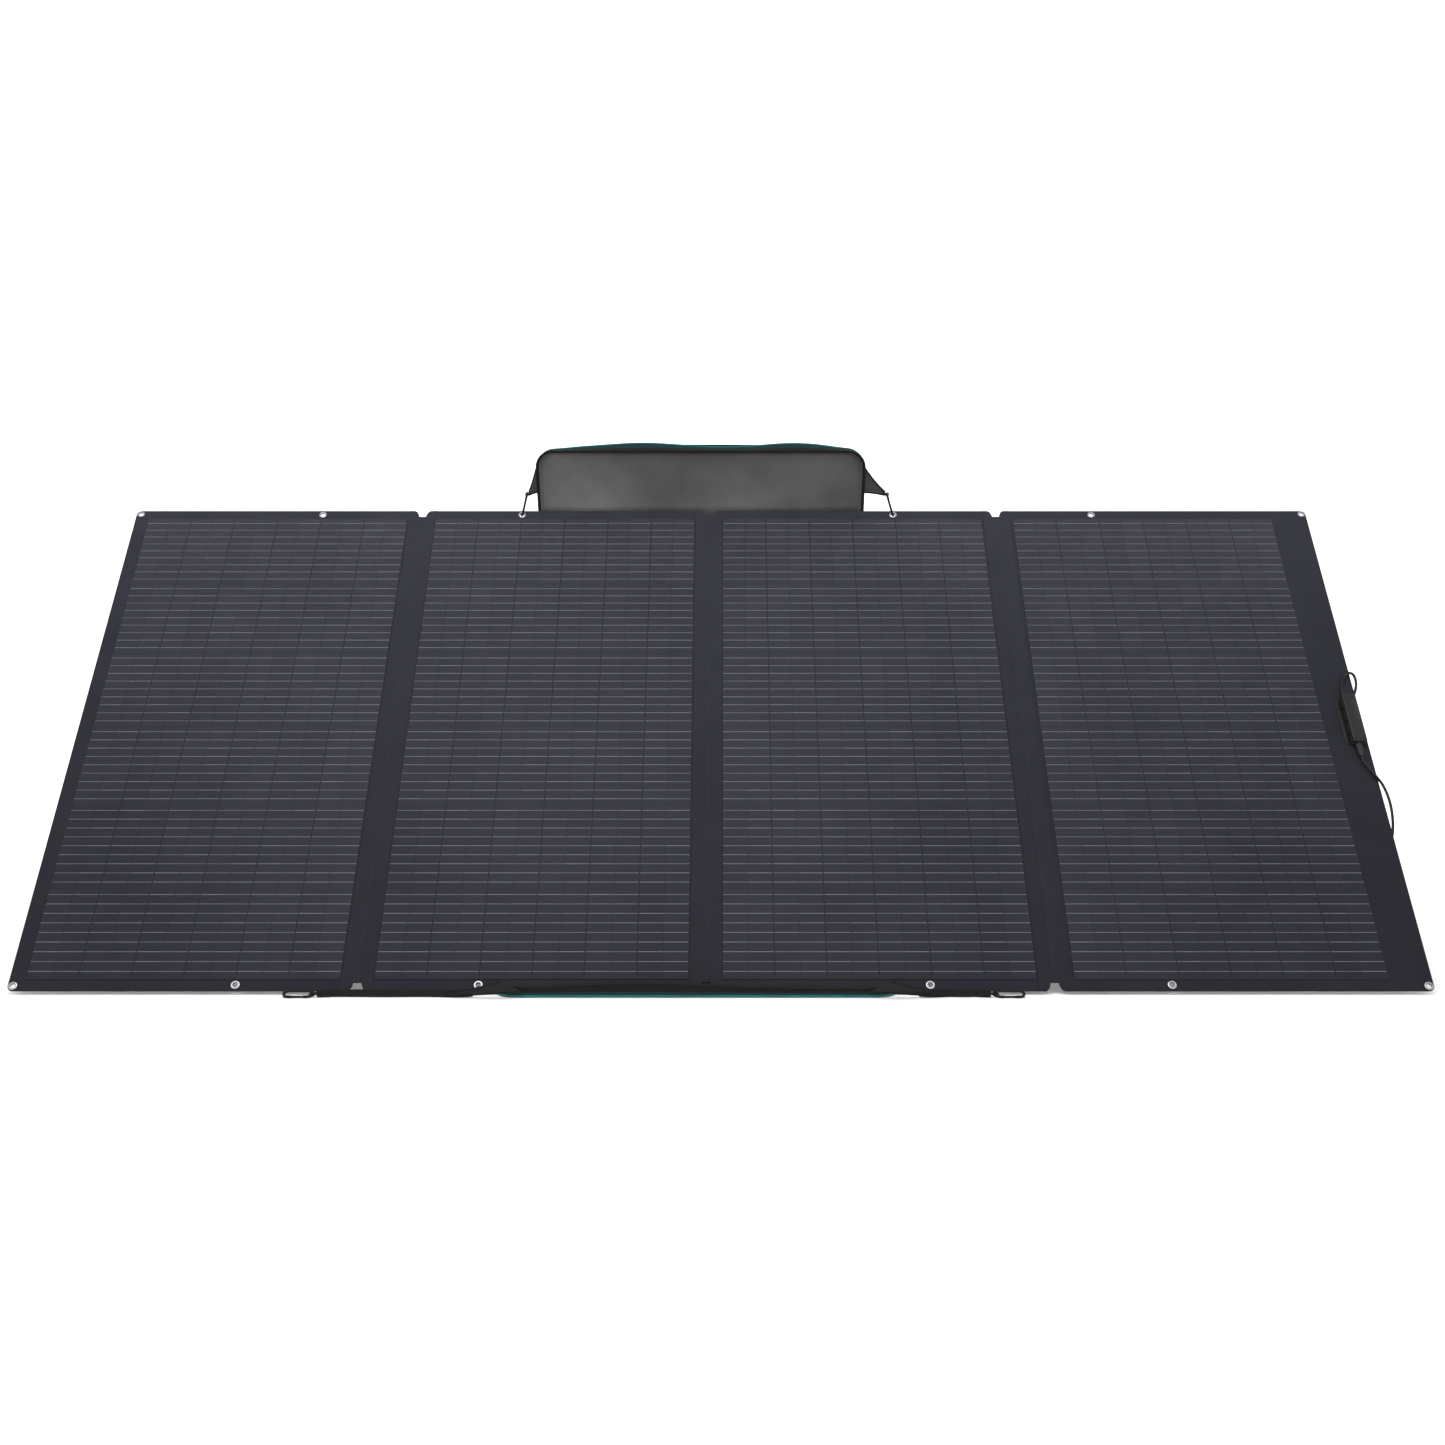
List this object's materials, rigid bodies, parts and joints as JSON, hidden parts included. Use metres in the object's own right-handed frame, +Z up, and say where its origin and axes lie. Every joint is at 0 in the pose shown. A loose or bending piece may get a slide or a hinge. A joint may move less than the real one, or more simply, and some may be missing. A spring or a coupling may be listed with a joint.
{
  "type": "folding solar blanket",
  "caption": "Wide accordion-folding solar blanket on stiff sections, leaning on its opened carry case as a kickstand, with corner carabiners, a side junction box and two leads.",
  "frame": {"origin": "on the ground, under the middle of the blanket's bottom edge, on the underside of the ground half of the case", "axes": "+X along the unfolded blanket to the viewer's right, +Y backwards from the viewer, +Z up"},
  "size_m": [2.3786, 1.1114, 0.9881],
  "materials": {
    "blanket_cover": "matt laminated fabric",
    "cell_laminate": "satin dimpled film over dark cells with fine pale busbars",
    "fold_fabric": "matt woven fabric",
    "copper_ribbon": "tinned copper ribbon",
    "eyelet_metal": "bright nickel",
    "black_plastic": "fine texture",
    "gland_plastic": "satin",
    "circuit_board": "solder mask",
    "cable_jacket": "satin",
    "case_fabric": "coated woven polyester with a teal cast",
    "case_lining": "smooth coated lining with a soft sheen",
    "wall_fabric": "woven polyester",
    "zip_tape": "woven zip tape",
    "tab_fabric": "woven polyester with dark binding",
    "webbing": "ribbed webbing",
    "black_anodised": "satin black anodised",
    "zip_metal": "dark plated"
  },
  "bodies": {
    "case_base": {"base_board": "case_fabric", "base_wall": "wall_fabric", "base_lining": "case_lining", "base_zip_tape": "zip_tape", "spine": "wall_fabric", "strap_bottom_left": "webbing", "strap_bottom_right": "webbing"},
    "case_back": {"back_board": "case_fabric", "back_wall": "wall_fabric", "back_lining": "case_lining", "back_zip_tape": "zip_tape", "tab_top_left": "tab_fabric", "tab_top_right": "tab_fabric"},
    "base_grip": {"base_handle": "webbing"},
    "back_grip": {"back_handle": "webbing"},
    "slider_left": {"zip_slider_left": "zip_metal"},
    "slider_right": {"zip_slider_right": "zip_metal"},
    "panel_2": {"section_2_board": "blanket_cover", "section_2_cells": "cell_laminate", "fold_band_1_2": "fold_fabric", "bus_link_1_2": "copper_ribbon", "fold_band_2_3": "fold_fabric", "bus_link_2_3": "copper_ribbon", "eyelet_top_3": "eyelet_metal", "eyelet_bottom_3": "eyelet_metal", "carabiner_top_left": "black_anodised"},
    "panel_1": {"section_1_board": "blanket_cover", "section_1_cells": "cell_laminate", "eyelet_top_1": "eyelet_metal", "eyelet_bottom_1": "eyelet_metal", "eyelet_top_2": "eyelet_metal", "eyelet_bottom_2": "eyelet_metal"},
    "panel_3": {"section_3_board": "blanket_cover", "section_3_cells": "cell_laminate", "fold_band_3_4": "fold_fabric", "bus_link_3_4": "copper_ribbon", "eyelet_top_4": "eyelet_metal", "eyelet_bottom_4": "eyelet_metal", "carabiner_top_right": "black_anodised"},
    "panel_4": {"section_4_board": "blanket_cover", "section_4_cells": "cell_laminate", "eyelet_top_5": "eyelet_metal", "eyelet_bottom_5": "eyelet_metal", "eyelet_top_6": "eyelet_metal", "eyelet_bottom_6": "eyelet_metal", "junction_box_base": "black_plastic", "junction_box_lid": "black_plastic", "diode_board": "circuit_board", "gland_top": "gland_plastic", "gland_bottom": "gland_plastic", "lead_positive": "cable_jacket", "lead_negative": "cable_jacket", "connector_positive": "black_plastic", "connector_negative": "black_plastic"},
    "hook_bottom_left": {"carabiner_bottom_left": "black_anodised"},
    "hook_bottom_right": {"carabiner_bottom_right": "black_anodised"},
    "gate_top_left": {"gate_top_left": "black_anodised"},
    "gate_top_right": {"gate_top_right": "black_anodised"},
    "gate_bottom_left": {"gate_bottom_left": "black_anodised"},
    "gate_bottom_right": {"gate_bottom_right": "black_anodised"}
  },
  "joints": [
    {"name": "case_hinge", "type": "hinge", "parent": "case_base", "child": "case_back", "pos_m": [-0.041, 1.058, 0.018], "axis": [1, 0, 0], "range_deg": [-117.25, 0]},
    {"name": "blanket_carry", "type": "slide", "parent": "case_base", "child": "panel_2", "axis": [0, -0.81, 0.5864], "range_m": [0, 1.8441]},
    {"name": "fold_1_2", "type": "hinge", "parent": "panel_2", "child": "panel_1", "pos_m": [-0.6035, -0.00454, 0.00908], "axis": [0, 0.5864, 0.81], "range_deg": [0, 176]},
    {"name": "fold_2_3", "type": "hinge", "parent": "panel_2", "child": "panel_3", "pos_m": [-0.0245, 0.00121, 0.00492], "axis": [0, 0.5864, 0.81], "range_deg": [0, 176]},
    {"name": "fold_3_4", "type": "hinge", "parent": "panel_3", "child": "panel_4", "pos_m": [0.5545, -0.00454, 0.00908], "axis": [0, 0.5864, 0.81], "range_deg": [-176, 0]},
    {"name": "base_handle_swing", "type": "hinge", "parent": "case_base", "child": "base_grip", "pos_m": [0.2899, 0.5177, 0.0111], "axis": [0, -1, 0], "range_deg": [0, 85]},
    {"name": "back_handle_swing", "type": "hinge", "parent": "case_back", "child": "back_grip", "pos_m": [0.29515, 0.82133, 0.5038], "axis": [0, -0.4578, 0.889], "range_deg": [0, 85]},
    {"name": "left_zip", "type": "slide", "parent": "case_base", "child": "slider_left", "axis": [0, -1, 0], "range_m": [0, 0.96]},
    {"name": "right_zip", "type": "slide", "parent": "case_base", "child": "slider_right", "axis": [0, -1, 0], "range_m": [0, 0.96]},
    {"name": "left_hook_swivel", "type": "hinge", "parent": "case_base", "child": "hook_bottom_left", "pos_m": [-0.6724, -0.02, 0.0058], "axis": [0, 0, 1], "range_deg": [0, 35]},
    {"name": "right_hook_swivel", "type": "hinge", "parent": "case_base", "child": "hook_bottom_right", "pos_m": [0.4524, -0.02, 0.0058], "axis": [0, 0, 1], "range_deg": [-35, 0]},
    {"name": "top_left_gate_hinge", "type": "hinge", "parent": "panel_2", "child": "gate_top_left", "pos_m": [-0.39914, 0.61015, 0.86898], "axis": [-0.9659, -0.1302, 0.2238], "range_deg": [0, 22], "stiffness_Nm_per_rad": 0.02},
    {"name": "top_right_gate_hinge", "type": "hinge", "parent": "panel_3", "child": "gate_top_right", "pos_m": [0.34358, 0.61001, 0.86876], "axis": [-0.9551, 0.1081, -0.276], "range_deg": [0, 22], "stiffness_Nm_per_rad": 0.02},
    {"name": "bottom_left_gate_hinge", "type": "hinge", "parent": "hook_bottom_left", "child": "gate_bottom_left", "pos_m": [-0.7036, -0.02719, 0.0023], "axis": [0, -0.4375, 0.8992], "range_deg": [0, 22], "stiffness_Nm_per_rad": 0.02},
    {"name": "bottom_right_gate_hinge", "type": "hinge", "parent": "hook_bottom_right", "child": "gate_bottom_right", "pos_m": [0.4836, -0.02719, 0.0023], "axis": [0, 0.4375, -0.8992], "range_deg": [0, 22], "stiffness_Nm_per_rad": 0.02}
  ],
  "couplings": [
    {"joint": "fold_2_3", "follows": "fold_1_2", "ratio": 1},
    {"joint": "fold_3_4", "follows": "fold_1_2", "ratio": -1},
    {"joint": "blanket_carry", "follows": "fold_1_2", "m_per_rad": 0.6}
  ]
}
